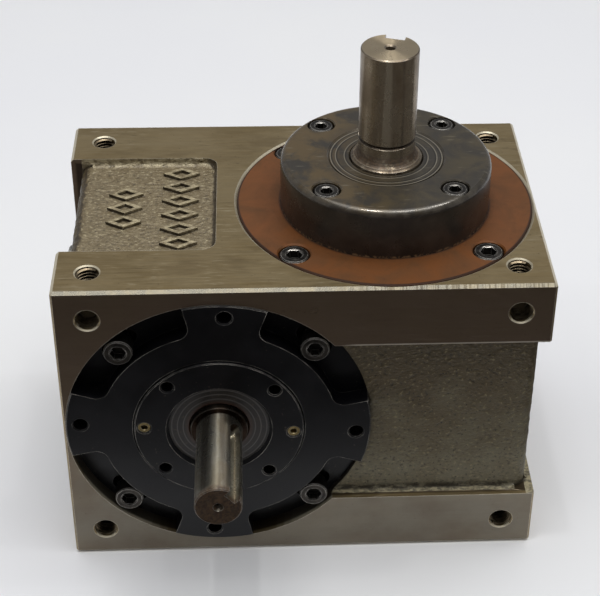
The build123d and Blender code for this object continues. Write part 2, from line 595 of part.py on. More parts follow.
# ---- every node ---------------------------------------------------------------------------------------
def screws_on(frame, pcd, count, seat, screw, first=45.0):
    """Screws round an axis, heads outward, standing on the seat depth below the frame's face."""
    return [frame * spot * Pos(0, 0, seat) * Rot(X=180) * screw for spot in on_circle(pcd, count, first)]


def make_nodes():
    nodes = {"housing": [make_housing()]}
    turret_room = tube(BORE_R, INPUT_Z - 9, INPUT_Z + 9)
    bearing = bearing_parts(**INPUT_BEARING)
    upright = Rot(X=180)
    m6 = cap_screw("M6", 11.0)
    m3 = cap_screw("M3", 9.0)
    for name, frame in (("input", INPUT_FRONT), ("rear", INPUT_REAR)):
        nodes[f"{name}_bearing_flange"] = [frame * bearing_flange(name == "input") - turret_room]
        nodes[f"{name}_flange_o_ring"] = [frame * o_ring(BORE_R - 1.08, 16.3)]
        nodes[f"{name}_flange_screws"] = screws_on(frame, FLANGE_SCREW_PCD, 4, SCALLOP_DEPTH, m6)
        nodes[f"{name}_cover_screws"] = screws_on(frame, COVER_PCD, 2, COVER_SCREW_SEAT, m3, -FLANGE_TURN)
    nodes["input_seal_cover"] = [INPUT_FRONT * seal_cover(True)]
    nodes["rear_blank_cover"] = [INPUT_REAR * seal_cover(False)]
    nodes["input_oil_seal"] = [INPUT_FRONT * oil_seal(10.0, 17.5, 0.3, 6.95)]
    # tapered bearings: each cup opens towards the middle of its shaft
    width = INPUT_BEARING["width"]
    for name, frame in (("input_front", INPUT_FRONT), ("input_rear", INPUT_REAR)):
        place = frame * Pos(0, 0, INPUT_BEARING_AT)
        cup, cone_ring, rolling = bearing
        nodes[f"{name}_bearing_cup"] = [place * cup]
        nodes[f"{name}_bearing_cone"] = [place * cone_ring]
        nodes[f"{name}_bearing_rollers"] = [place * one for one in rolling]
    output_bearing = bearing_parts(**OUTPUT_BEARING)
    width = OUTPUT_BEARING["width"]
    for name, place in (("output_lower", Pos(0, 0, LOWER_BEARING_Z)),
                        ("output_upper", Pos(0, 0, UPPER_BEARING_Z + width) * upright)):
        cup, cone_ring, rolling = output_bearing
        nodes[f"{name}_bearing_cup"] = [place * cup]
        nodes[f"{name}_bearing_cone"] = [place * cone_ring]
        nodes[f"{name}_bearing_rollers"] = [place * one for one in rolling]
    # input shaft assembly
    nodes["input_shaft"] = [INPUT_FRONT * make_input_shaft()]
    nodes["indexing_cam"] = [make_cam()]
    nodes["cam_key"] = [INPUT_FRONT * make_cam_key()]
    nodes["cam_spacers"] = [INPUT_FRONT * one for one in make_cam_spacers()]
    nodes["input_lock_nut"] = [INPUT_FRONT * make_lock_nut()]
    # output shaft assembly
    nodes["output_shaft"] = [make_output_shaft()]
    nodes["follower_turret"] = [make_turret()]
    nodes["turret_key"] = [make_turret_key()]
    nodes["turret_circlip"] = [make_circlip()]
    nodes["follower_studs"] = [place * make_follower_stud() for place in follower_places()]
    for number, place in enumerate(follower_places(), 1):
        nodes[f"follower_roller_{number}"] = [place * make_follower_roller()]
    # output flange, cap and bottom cover
    nodes["output_bearing_flange"] = [make_output_flange()]
    nodes["output_flange_o_ring"] = [o_ring(BORE_R - 1.08, 100.3)]
    nodes["output_flange_screws"] = screws_on(Pos(0, 0, HEIGHT) * upright, FLANGE_SCREW_PCD, 4, 6.3,
                                              cap_screw("M6", 14.0))
    nodes["output_seal_cap"] = [make_output_cap()]
    nodes["output_cap_screws"] = screws_on(Pos(0, 0, CAP_TOP) * upright, CAP_SCREW_PCD, 4, 5.4,
                                           cap_screw("M5", 22.0))
    nodes["output_oil_seal"] = [Pos(0, 0, CAP_TOP) * upright * oil_seal(12.5, 20.0, 0.4, 7.3)]
    nodes["bottom_bearing_cover"] = [make_bottom_cover()]
    nodes["bottom_cover_o_ring"] = [o_ring(28.5, 4.93)]
    nodes["bottom_cover_screws"] = screws_on(Pos(), BOTTOM_COVER_PCD, 4, 0.2, countersunk_screw("M5", 12.0))
    # oil plugs
    for name in ("oil_filler_plug", "oil_drain_plug"):
        nodes[name] = [make_plug(PLUG_HEIGHTS[name])]
    nodes["oil_level_window_frame"] = [make_window_frame()]
    nodes["oil_level_window_glass"] = [make_window_glass()]
    nodes["plug_washers"] = make_plug_washers()
    return nodes


def export_nodes(nodes):
    os.makedirs("parts", exist_ok=True)
    for name, pieces in nodes.items():
        solids = [solid for piece in pieces for solid in piece.solids()]
        shape = solids[0] if len(solids) == 1 else Compound(children=solids)
        shape.label = name
        export_step(shape, f"parts/{name}.step")


export_nodes(make_nodes())
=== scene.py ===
import json
import math

import bmesh
import bpy
from mathutils import Matrix, Vector, noise


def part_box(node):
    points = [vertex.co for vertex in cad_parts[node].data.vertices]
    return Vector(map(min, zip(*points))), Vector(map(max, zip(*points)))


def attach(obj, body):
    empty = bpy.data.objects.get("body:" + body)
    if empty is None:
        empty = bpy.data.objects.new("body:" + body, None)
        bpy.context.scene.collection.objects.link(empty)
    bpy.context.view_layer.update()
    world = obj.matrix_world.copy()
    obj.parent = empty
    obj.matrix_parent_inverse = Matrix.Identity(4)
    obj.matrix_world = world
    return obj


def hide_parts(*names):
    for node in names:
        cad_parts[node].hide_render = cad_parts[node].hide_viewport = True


# Lengths are in metres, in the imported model's frame: +Z up the output shaft, the input shaft out of -Y.
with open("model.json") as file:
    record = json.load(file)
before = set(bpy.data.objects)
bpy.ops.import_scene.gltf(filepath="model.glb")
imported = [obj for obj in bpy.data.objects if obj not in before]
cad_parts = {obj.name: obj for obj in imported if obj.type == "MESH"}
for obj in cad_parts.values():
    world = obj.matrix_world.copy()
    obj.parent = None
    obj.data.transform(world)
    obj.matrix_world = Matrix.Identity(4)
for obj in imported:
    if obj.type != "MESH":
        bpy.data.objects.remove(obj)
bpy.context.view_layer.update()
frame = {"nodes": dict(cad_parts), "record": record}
NODES = frame["nodes"]
MM = 0.001

# ---- places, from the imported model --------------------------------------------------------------
HOUSING_LOW, HOUSING_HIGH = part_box("housing")
FRONT = HOUSING_LOW.y
MOUNTS = {m["name"]: m for m in frame["record"]["mounts"]}
INPUT_AXIS = Vector(MOUNTS["input_shaft"]["pos_m"])
INPUT_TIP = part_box("input_shaft")[0].y
CAP_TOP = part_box("output_seal_cap")[1].z

# ---- lengths of the housing, the same as in the CAD ---------------------------------------------
RAIL = 24 * MM            # machined rails above and below the side pockets, and beside the top pocket
SIDE_POCKET = 4.5 * MM    # depths of the cast pockets
END_POCKET = 3 * MM
LEFT_POCKET = 4 * MM
TOP_POCKET = 3 * MM
TOP_POCKET_LENGTH = 54 * MM
CAST_CORNER = 4 * MM      # rounding of the pockets' outer edges
EDGE_CHAMFER = 1 * MM
TOP_RAIL_FOOT = HOUSING_HIGH.z - RAIL
POCKET_FLOOR = HOUSING_HIGH.z - TOP_POCKET

# ---- lengths that only the looks need -----------------------------------------------------------
REGISTER_R = 53.1 * MM    # just outside the seats of the input and rear flanges
LIP_START = -18 * MM      # the top rail's lower edge is worn from here to its right end
CAP_GROOVES = (19.2 * MM, 17.4 * MM, 14.3 * MM)       # radii of the turned rings on the cap
SEAL_GROOVES = (16.6 * MM, 14.6 * MM, 12.6 * MM)      # and on the input seal


# ---- node graph helper ----------------------------------------------------------------------------
class Paint:
    """A procedural material. Colours are given as sRGB bytes."""

    def __init__(self, name):
        self.material = bpy.data.materials.new(name)
        self.material.use_nodes = True
        self.tree = self.material.node_tree
        self.shader = self.tree.nodes["Principled BSDF"]
        self.object = self.add("ShaderNodeTexCoord").outputs["Object"]
        split = self.add("ShaderNodeSeparateXYZ")
        self.link(self.object, split.inputs[0])
        self.x, self.y, self.z = split.outputs

    def add(self, kind, **settings):
        node = self.tree.nodes.new(kind)
        for key, value in settings.items():
            setattr(node, key, value)
        return node

    def link(self, source, target):
        self.tree.links.new(source, target)

    def put(self, value, socket):
        if isinstance(value, bpy.types.NodeSocket):
            self.link(value, socket)
        else:
            socket.default_value = value

    def tint(self, colour, socket):
        """Puts a colour into a socket: sRGB bytes, or another node's output."""
        self.put((*[linear(c) for c in colour], 1.0) if isinstance(colour, tuple) else colour, socket)

    def math(self, operation, a, b=0.0):
        node = self.add("ShaderNodeMath", operation=operation)
        for value, socket in zip((a, b), node.inputs):
            self.put(value, socket)
        return node.outputs[0]

    def times(self, a, b):
        return self.math("MULTIPLY", a, b)

    def plus(self, a, b):
        return self.math("ADD", a, b)

    def minus(self, a, b):
        return self.math("SUBTRACT", a, b)

    def larger(self, a, b):
        return self.math("MAXIMUM", a, b)

    def smaller(self, a, b):
        return self.math("MINIMUM", a, b)

    def absolute(self, a):
        return self.math("ABSOLUTE", a)

    def near(self, value, place, reach, full):
        """1 within full of place, falling to 0 at reach from it."""
        return self.span(self.absolute(self.minus(value, place)), reach, full)

    def gloss(self, level):
        """How strongly the surface mirrors: 0.5 is plain, less is duller."""
        self.put(level, self.shader.inputs["Specular IOR Level"])

    def scaled(self, scale, offset=(0, 0, 0)):
        node = self.add("ShaderNodeMapping")
        self.link(self.object, node.inputs["Vector"])
        node.inputs["Location"].default_value = offset
        node.inputs["Scale"].default_value = scale
        return node.outputs[0]

    def noise(self, size, detail=3.0, rough=0.55, stretch=(1, 1, 1), offset=(0, 0, 0), warp=0.0):
        """Fractal noise from 0 to 1 whose lumps are about size metres, longer where stretch is above 1."""
        node = self.add("ShaderNodeTexNoise")
        scale = tuple(1 / (size * s) for s in stretch)
        self.link(self.scaled(scale, offset), node.inputs["Vector"])
        node.inputs["Scale"].default_value = 1.0
        node.inputs["Detail"].default_value = detail
        node.inputs["Roughness"].default_value = rough
        node.inputs["Distortion"].default_value = warp
        return node.outputs["Fac"]

    def rings(self, along, pitch):
        """Noise that varies only with the given value, as tool marks do, about pitch metres apart."""
        node = self.add("ShaderNodeTexNoise", noise_dimensions="1D")
        self.link(self.math("DIVIDE", along, pitch), node.inputs["W"])
        return node.outputs["Fac"]

    def cells(self, size):
        """Distance, in cells about size metres wide, to the nearest of a scatter of points."""
        node = self.add("ShaderNodeTexVoronoi")
        self.link(self.scaled((1 / size,) * 3), node.inputs["Vector"])
        node.inputs["Scale"].default_value = 1.0
        return node.outputs["Distance"]

    def span(self, value, low, high, start=0.0, end=1.0):
        """value mapped smoothly from low..high to start..end, held at both ends."""
        node = self.add("ShaderNodeMapRange", interpolation_type="SMOOTHSTEP")
        self.put(value, node.inputs["Value"])
        node.inputs["From Min"].default_value = low
        node.inputs["From Max"].default_value = high
        node.inputs["To Min"].default_value = start
        node.inputs["To Max"].default_value = end
        return node.outputs["Result"]

    def mix(self, factor, a, b, blend="MIX"):
        node = self.add("ShaderNodeMix", data_type="RGBA", blend_type=blend)
        self.put(factor, node.inputs[0])
        self.tint(a, node.inputs[6])
        self.tint(b, node.inputs[7])
        return node.outputs[2]

    def coat(self, below, mask, above, strength=1.0):
        """The colour below, covered by the one above where mask is 1, as far as strength says."""
        return self.mix(self.times(mask, strength), below, above)

    def radius(self, centre, axis):
        """Distance from the line through centre along the axis letter."""
        total = None
        for letter, value, middle in zip("XYZ", (self.x, self.y, self.z), centre):
            if letter == axis:
                continue
            offset = self.minus(value, middle)
            squared = self.times(offset, offset)
            total = squared if total is None else self.plus(total, squared)
        return self.math("SQRT", total)

    def facing(self, axis):
        """The true surface normal's part along X, Y or Z."""
        geometry = self.add("ShaderNodeNewGeometry")
        split = self.add("ShaderNodeSeparateXYZ")
        self.link(geometry.outputs["True Normal"], split.inputs[0])
        return split.outputs["XYZ".index(axis)]

    def edges(self, width):
        """1 on convex and concave edges, falling to 0 about width metres from them."""
        bevel = self.add("ShaderNodeBevel", samples=4)
        bevel.inputs["Radius"].default_value = width
        geometry = self.add("ShaderNodeNewGeometry")
        dot = self.add("ShaderNodeVectorMath", operation="DOT_PRODUCT")
        self.link(bevel.outputs[0], dot.inputs[0])
        self.link(geometry.outputs["Normal"], dot.inputs[1])
        return self.span(dot.outputs["Value"], 0.995, 0.88)

    def crevices(self, reach):
        """1 deep in corners closer together than about reach metres, 0 in the open."""
        node = self.add("ShaderNodeAmbientOcclusion", samples=6)
        node.inputs["Distance"].default_value = reach
        return self.span(node.outputs["AO"], 0.86, 0.45)

    def bump(self, height, distance, strength=1.0, below=None):
        node = self.add("ShaderNodeBump")
        node.inputs["Strength"].default_value = strength
        node.inputs["Distance"].default_value = distance
        self.link(height, node.inputs["Height"])
        if below is not None:
            self.link(below, node.inputs["Normal"])
        return node.outputs[0]

    def finish(self, colour, roughness, metallic=0.0, normal=None, **constants):
        """Fills the shader in. Each further keyword sets the shader input of that name."""
        self.tint(colour, self.shader.inputs["Base Color"])
        self.put(roughness, self.shader.inputs["Roughness"])
        self.put(metallic, self.shader.inputs["Metallic"])
        if normal is not None:
            self.link(normal, self.shader.inputs["Normal"])
        for name, value in constants.items():
            self.shader.inputs[name.replace("_", " ").title()].default_value = value
        return self.material


def linear(byte):
    value = byte / 255
    return value / 12.92 if value <= 0.04045 else ((value + 0.055) / 1.055) ** 2.4


# ---- materials ------------------------------------------------------------------------------------
def machined_iron():
    """Milled and oiled iron: brushed along X, blotched with dried oil, bright where the edges are worn,
    with a painted reflection on its front and back faces and painted shade inside its holes and bores.
    """
    p = Paint("machined_iron")
    up = p.absolute(p.facing("Z"))
    front = p.span(p.absolute(p.facing("Y")), 0.7, 0.95)
    brush = p.noise(0.35 * MM, 4, 0.6, stretch=(90, 1.2, 1.2))
    streak = p.noise(0.8 * MM, 3, 0.6, stretch=(9, 1, 1), offset=(3, 3, 3))
    rubbed = p.span(p.noise(22 * MM, 3, 0.55, offset=(8, 2, 5)), 0.45, 0.62)
    blotch = p.noise(15 * MM, 5, 0.6, stretch=(2.2, 1, 1), warp=0.2)
    speck = p.span(p.noise(1.1 * MM, 2, 0.5), 0.67, 0.75)
    colour = p.mix(p.span(blotch, 0.34, 0.68), (146, 128, 92), (112, 95, 61))
    colour = p.coat(colour, p.span(brush, 0.3, 0.7, 0.0, 0.3), (150, 138, 112))
    colour = p.coat(colour, p.times(rubbed, p.span(streak, 0.56, 0.7, 0.0, 0.5)), (170, 160, 136))
    colour = p.coat(colour, p.times(rubbed, p.span(streak, 0.4, 0.28, 0.0, 0.5)), (76, 62, 42))
    stain = p.span(p.noise(24 * MM, 4, 0.62, stretch=(2.5, 1, 1), offset=(2, 6, 1)), 0.56, 0.66, 0.0, 0.35)
    colour = p.coat(colour, stain, (90, 72, 42))
    # Front and back faces get their own colour, a painted reflection: pale grey low down where they mirror
    # the floor, browner and darker higher up, mottled.
    height = p.plus(p.z, p.span(p.noise(20 * MM, 3, 0.6), 0.0, 1.0, -20 * MM, 20 * MM))
    plain = p.mix(p.span(height, 18 * MM, 75 * MM), (121, 116, 106), (94, 79, 68))
    mottle = p.noise(30 * MM, 4, 0.6, offset=(3, 1, 7))
    plain = p.coat(plain, p.span(mottle, 0.35, 0.7), (88, 73, 60), 0.5)
    colour = p.coat(colour, front, plain, 0.85)
    colour = p.coat(colour, speck, (60, 46, 32), 0.35)
    edge = p.times(p.edges(0.4 * MM), p.span(p.noise(6 * MM, 3), 0.25, 0.6, 0.35, 0.95))
    colour = p.coat(colour, edge, (214, 206, 190))
    slope = p.times(p.span(up, 0.35, 0.5), p.span(up, 0.95, 0.85))
    colour = p.coat(colour, slope, (222, 212, 186), 0.85)
    lip = p.near(p.z, TOP_RAIL_FOOT, 0.7 * MM, 0.3 * MM)
    lip = p.times(lip, p.span(p.x, LIP_START, LIP_START + 6 * MM))
    colour = p.coat(colour, p.times(lip, front), (206, 196, 182), 0.8)
    # Painted shade: faces more than about 2 mm inside the housing's outline, in its holes and bores, are
    # darkened.
    depth = None
    for value, low, high in zip((p.x, p.y, p.z), HOUSING_LOW, HOUSING_HIGH):
        inset = p.smaller(p.minus(value, low), p.minus(high, value))
        depth = inset if depth is None else p.smaller(depth, inset)
    deep_shade = p.span(depth, 0.9 * MM, 2.2 * MM)
    colour = p.coat(colour, deep_shade, (40, 30, 20), 0.85)
    roughness = p.plus(p.span(blotch, 0.3, 0.7, 0.30, 0.42), p.span(streak, 0.3, 0.7, -0.04, 0.05))
    grooves = p.plus(brush, p.times(p.noise(2.5 * MM, 2), 0.5))
    return p.finish(colour, roughness, 0.75, p.bump(grooves, 0.02 * MM, 0.5))


def worn_chamfer():
    """The bright broken edge along the top of the front face, with tool chatter on its right half."""
    p = Paint("worn_chamfer")
    ticks = p.noise(0.55 * MM, 1, 0.5, stretch=(1, 40, 40))
    right = p.span(p.x, -35 * MM, 5 * MM)
    dark = p.times(p.span(ticks, 0.48, 0.6), right)
    scuff = p.noise(5 * MM, 4, 0.65)
    colour = p.mix(p.span(scuff, 0.3, 0.7), (236, 228, 206), (204, 192, 164))
    colour = p.coat(colour, dark, (120, 104, 78), 0.55)
    return p.finish(colour, p.span(scuff, 0.3, 0.7, 0.22, 0.36), 0.9, p.bump(ticks, 0.05 * MM, 0.5))


def cast_iron():
    """Sand-cast iron, pebbled and pitted, browner towards the top and greyer low down, with painted shade
    and highlight on its pebbles, in its corners and over its pocket walls.
    """
    p = Paint("cast_iron")
    pebble = p.noise(1.15 * MM, 3, 0.55, stretch=(1.3, 1, 1))
    grain = p.noise(0.5 * MM, 3, 0.6)
    patch = p.noise(9 * MM, 4, 0.6, offset=(5, 2, 1))
    drift = p.span(p.noise(18 * MM, 4, 0.6, offset=(5, 2, 1)), 0.0, 1.0, -40 * MM, 40 * MM)
    brown = p.span(p.plus(p.z, drift), 30 * MM, 85 * MM)
    colour = p.mix(brown, (128, 123, 109), (101, 89, 66))
    colour = p.coat(colour, p.span(patch, 0.4, 0.7, 0.0, 0.3), (108, 92, 62))
    # Painted shade in the pebbles' hollows and painted highlight on their tops and on the fine grain.
    colour = p.coat(colour, p.span(pebble, 0.46, 0.32, 0.0, 0.65), (54, 45, 30))
    colour = p.coat(colour, p.span(pebble, 0.56, 0.7, 0.0, 0.6), (176, 167, 142))
    colour = p.coat(colour, p.span(grain, 0.58, 0.75, 0.0, 0.25), (184, 178, 160))
    pits = p.times(p.span(p.cells(2.1 * MM), 0.2, 0.1), p.span(grain, 0.42, 0.52))
    colour = p.coat(colour, pits, (24, 18, 12), 0.85)
    # Dirt and painted shade, mottled, along the foot of the side pockets and under the top rail.
    above_foot = p.span(p.z, RAIL + 3.4 * MM, RAIL + 1.2 * MM)
    under_rail = p.span(p.z, TOP_RAIL_FOOT - 2.4 * MM, TOP_RAIL_FOOT - 0.2 * MM)
    walls = p.span(p.z, TOP_RAIL_FOOT + 1.5 * MM, TOP_RAIL_FOOT + 0.5 * MM)
    ledge = p.times(p.larger(above_foot, under_rail), walls)
    dirt_and_shade = p.times(ledge, p.span(p.noise(2 * MM, 4, 0.65, stretch=(2, 1, 1)), 0.38, 0.56))
    colour = p.coat(colour, dirt_and_shade, (40, 31, 18), 0.8)
    # A pale mottled coat on the upward-facing shelf at the side pockets' foot and, fainter, about the top
    # pocket's floor.
    shelf = p.times(p.span(p.facing("Z"), 0.6, 0.9), p.span(p.z, RAIL + 1.5 * MM, RAIL + 0.5 * MM))
    top = p.span(p.z, POCKET_FLOOR - 0.2 * MM, POCKET_FLOOR + 0.7 * MM)
    pale_mottle = p.span(p.noise(1.5 * MM, 4, 0.65, stretch=(1.6, 1, 1), offset=(1, 8, 4)), 0.4, 0.6, 0.2, 0.9)
    pale = p.times(p.larger(shelf, p.times(top, 0.6)), pale_mottle)
    colour = p.coat(colour, pale, (192, 182, 154))
    # Painted shade deep in corners and along the pockets' walls.
    colour = p.coat(colour, p.crevices(2 * MM), (42, 33, 19), 0.8)
    # Painted shade over the cast faces below the top pocket, lighter towards the pockets' foot; the top
    # pocket is left almost as it is.
    in_top = p.span(p.z, POCKET_FLOOR - 1.5 * MM, POCKET_FLOOR - 0.5 * MM)
    wall_shade = p.mix(p.span(p.z, RAIL + 2 * MM, RAIL + 26 * MM), (216, 213, 198), (188, 181, 157))
    wall_shade = p.coat(wall_shade, in_top, (254, 250, 238))
    colour = p.mix(1.0, colour, wall_shade, blend="MULTIPLY")
    # Painted shade on the top pocket's walls that face -X.
    end_wall_shade = p.times(p.span(p.facing("X"), -0.2, -0.5), in_top)
    colour = p.coat(colour, end_wall_shade, (46, 35, 20), 0.85)
    roughness = p.span(pebble, 0.3, 0.7, 0.42, 0.58)
    rough = p.bump(pebble, 0.55 * MM, 1.0)
    return p.finish(colour, roughness, 0.2, p.bump(grain, 0.12 * MM, 0.8, below=rough))


def black_flange():
    """Blackened turned iron, worn to bright lines on its edges."""
    p = Paint("black_flange")
    radius = p.radius(INPUT_AXIS, "Y")
    turned = p.rings(radius, 0.18 * MM)
    cloud = p.noise(12 * MM, 4, 0.6)
    colour = p.mix(p.span(cloud, 0.35, 0.7), (8, 8, 10), (15, 14, 17))
    colour = p.coat(colour, p.span(turned, 0.45, 0.7, 0.0, 0.25), (27, 26, 30))
    # Painted shade on faces set back behind the housing's front face, full from about 2 mm in, which also
    # dims the bright edges there.
    sunk_shade = p.span(p.y, FRONT + 0.3 * MM, FRONT + 2 * MM)
    colour = p.coat(colour, sunk_shade, (9, 9, 12), 0.7)
    edge = p.times(p.edges(0.22 * MM), p.span(p.noise(7 * MM, 3), 0.36, 0.62, 0.12, 0.85))
    edge = p.times(edge, p.span(sunk_shade, 0, 1, 1, 0.15))
    colour = p.coat(colour, edge, (206, 200, 188))
    dust = p.span(p.noise(1.3 * MM, 2, offset=(9, 9, 9)), 0.68, 0.76)
    colour = p.coat(colour, dust, (88, 80, 68), 0.35)
    roughness = p.plus(p.span(cloud, 0.3, 0.7, 0.30, 0.42), p.times(edge, -0.08))
    p.gloss(p.span(p.z, 15 * MM, 60 * MM, 0.45, 0.2))
    return p.finish(colour, roughness, 0.15, p.bump(turned, 0.015 * MM, 0.5))


def brown_ring():
    """Turned iron under a brown film of dried oil."""
    p = Paint("brown_ring")
    radius = p.radius((0, 0, 0), "Z")
    turned = p.rings(radius, 0.22 * MM)
    film = p.noise(13 * MM, 4, 0.6, warp=0.5)
    colour = p.mix(p.span(film, 0.32, 0.7), (112, 66, 29), (86, 52, 19))
    colour = p.coat(colour, p.span(turned, 0.4, 0.7, 0.0, 0.14), (128, 84, 44))
    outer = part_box("output_bearing_flange")[1].x
    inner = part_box("output_seal_cap")[1].x
    # Painted shade in bands beside the gaps at the ring's outer and inner edges.
    outer_gap_shade = p.span(radius, outer - 0.9 * MM, outer - 0.4 * MM)
    inner_gap_shade = p.span(radius, inner + 1.1 * MM, inner)
    colour = p.coat(colour, p.larger(outer_gap_shade, inner_gap_shade), (34, 18, 10), 0.85)
    spots = p.span(p.noise(1.6 * MM, 2, offset=(4, 4, 4)), 0.68, 0.74)
    colour = p.coat(colour, spots, (66, 38, 20), 0.4)
    p.gloss(0.36)
    return p.finish(colour, p.span(film, 0.3, 0.7, 0.42, 0.54), 0.35, p.bump(turned, 0.012 * MM, 0.5))


def dark_cap():
    """The blackened cap: glossy on its side, rubbed to olive brown on top, with turned rings."""
    p = Paint("dark_cap")
    radius = p.radius((0, 0, 0), "Z")
    turned = p.rings(radius, 0.3 * MM)
    top = p.span(p.z, CAP_TOP - 2.0 * MM, CAP_TOP - 0.3 * MM)
    rub = p.noise(11 * MM, 5, 0.62, warp=0.4)
    scratch = p.span(p.noise(0.35 * MM, 2, 0.5, stretch=(26, 3, 26), offset=(2, 8, 2)), 0.64, 0.72)
    face = p.mix(p.span(rub, 0.38, 0.62), (74, 66, 50), (50, 46, 40))
    left = p.times(p.span(p.x, 8 * MM, -24 * MM), p.span(rub, 0.62, 0.4))
    face = p.coat(face, left, (104, 84, 52), 0.6)
    face = p.coat(face, p.span(turned, 0.42, 0.7, 0.0, 0.25), (86, 78, 62))
    face = p.coat(face, scratch, (150, 142, 124), 0.35)
    face = p.coat(face, p.span(radius, 26 * MM, 20 * MM), (58, 54, 48), 0.35)
    # Each turned ring is painted as a groove: a painted highlight on its outer lip and painted shade in it.
    for groove in CAP_GROOVES:
        groove_highlight = p.near(radius, groove + 0.45 * MM, 0.3 * MM, 0.05 * MM)
        face = p.coat(face, groove_highlight, (166, 158, 140), 0.5)
        face = p.coat(face, p.near(radius, groove, 0.4 * MM, 0.1 * MM), (26, 22, 17), 0.75)
    side = p.mix(p.span(p.noise(9 * MM, 4, 0.6, offset=(1, 5, 3)), 0.35, 0.7), (42, 37, 33), (58, 51, 45))
    foot = p.span(p.z, HOUSING_HIGH.z + 1.1 * MM, HOUSING_HIGH.z + 0.3 * MM)
    foot = p.times(foot, p.span(p.noise(1.2 * MM, 3), 0.45, 0.6))
    side = p.coat(side, foot, (150, 120, 86), 0.7)
    colour = p.mix(top, side, face)
    up = p.facing("Z")
    rounded = p.times(p.span(up, 0.1, 0.35), p.span(up, 0.985, 0.9))
    worn = p.span(p.noise(4.5 * MM, 3, 0.5, offset=(7, 7, 1)), 0.42, 0.64, 0.1, 0.6)
    colour = p.coat(colour, p.times(rounded, worn), (88, 82, 72))
    roughness = p.plus(p.span(top, 0, 1, 0.3, 0.34), p.span(rub, 0.3, 0.7, -0.05, 0.07))
    roughness = p.minus(roughness, p.times(rounded, 0.16))
    return p.finish(colour, roughness, 0.3, p.bump(turned, 0.014 * MM, 0.5))


def ground_steel(name, axis, clean, filmed, end_colour, metallic, rust_at, rust_over, dark_at, dark_over):
    """A ground shaft under a brown film, with rust about rust_at and a dark band about dark_at: dirt where
    the input shaft enters its seal, painted shade in the output shaft's undercut.
    """
    p = Paint(name)
    along = {"Y": p.y, "Z": p.z}[axis]
    ground = p.rings(along, 0.14 * MM)
    film = p.noise(7 * MM, 4, 0.62, stretch=(1, 2, 2), warp=0.4)
    colour = p.mix(p.span(film, 0.34, 0.7), clean, filmed)
    # Long light and dark streaks along the axis: painted reflection, standing in for the streaked
    # highlights of the ground surface.
    long = {"Y": (1, 30, 1), "Z": (1, 1, 30)}[axis]
    streak = p.noise(3.6 * MM, 2, 0.5, stretch=long, offset=(4, 9, 2))
    colour = p.coat(colour, p.span(streak, 0.5, 0.38, 0.0, 0.6), (62, 50, 36))
    colour = p.coat(colour, p.span(streak, 0.56, 0.66, 0.0, 0.55), (180, 168, 146))
    colour = p.coat(colour, p.span(ground, 0.4, 0.7, 0.0, 0.2), (206, 202, 194))
    end = p.span(p.absolute(p.facing(axis)), 0.8, 0.95)
    colour = p.coat(colour, end, end_colour, 0.85)
    patch = p.noise(2.2 * MM, 5, 0.65, offset=(6, 1, 2))
    rust = p.times(p.near(along, rust_at, rust_over, rust_over * 0.35), p.span(patch, 0.3, 0.5))
    rust = p.larger(rust, p.times(p.span(patch, 0.66, 0.74), 0.5))
    tint = p.mix(p.span(p.noise(0.8 * MM, 3), 0.35, 0.65), (82, 60, 38), (50, 36, 23))
    colour = p.coat(colour, rust, tint, 0.85)
    # Painted highlight along the shaft's edges.
    colour = p.coat(colour, p.edges(0.18 * MM), (226, 222, 214), 0.4)
    # Dirt where the input shaft enters its seal, painted shade in the output shaft's undercut.
    grime_and_shade = p.near(along, dark_at, dark_over, dark_over * 0.6)
    colour = p.coat(colour, grime_and_shade, (34, 22, 14), 0.85)
    roughness = p.plus(p.span(film, 0.3, 0.7, 0.24, 0.34), p.times(rust, 0.25))
    round_axis = p.add("ShaderNodeTangent", direction_type="RADIAL", axis=axis)
    p.link(round_axis.outputs[0], p.shader.inputs["Tangent"])
    rings = p.bump(ground, 0.01 * MM, 0.5)
    return p.finish(colour, roughness, p.span(rust, 0, 1, metallic, 0.4), rings,
                    anisotropic=0.9, anisotropic_rotation=0.25)


def black_oxide():
    """Socket screws: black oxide, rubbed silver on the rims."""
    p = Paint("black_oxide")
    cloud = p.noise(2.5 * MM, 4, 0.6)
    colour = p.mix(p.span(cloud, 0.3, 0.7), (38, 36, 34), (66, 62, 57))
    rim = p.times(p.edges(0.45 * MM), p.span(p.noise(1.5 * MM, 3), 0.25, 0.6, 0.45, 1.0))
    colour = p.coat(colour, rim, (206, 202, 194))
    return p.finish(colour, p.span(cloud, 0.3, 0.7, 0.28, 0.42), 0.85, p.bump(cloud, 0.03 * MM, 0.4))


def plain_metal(name, dark, light, rough, metallic=1.0, size=3 * MM, worn=None):
    """A metal with clouded colour and roughness, used for the small and the sealed-in pieces."""
    p = Paint(name)
    cloud = p.noise(size, 4, 0.6)
    fine = p.noise(0.3 * MM, 3, 0.6)
    colour = p.mix(p.span(cloud, 0.3, 0.7), dark, light)
    if worn:
        colour = p.coat(colour, p.edges(0.3 * MM), worn, 0.7)
    roughness = p.span(cloud, 0.3, 0.7, rough, rough + 0.14)
    return p.finish(colour, roughness, metallic, p.bump(fine, 0.012 * MM, 0.5))


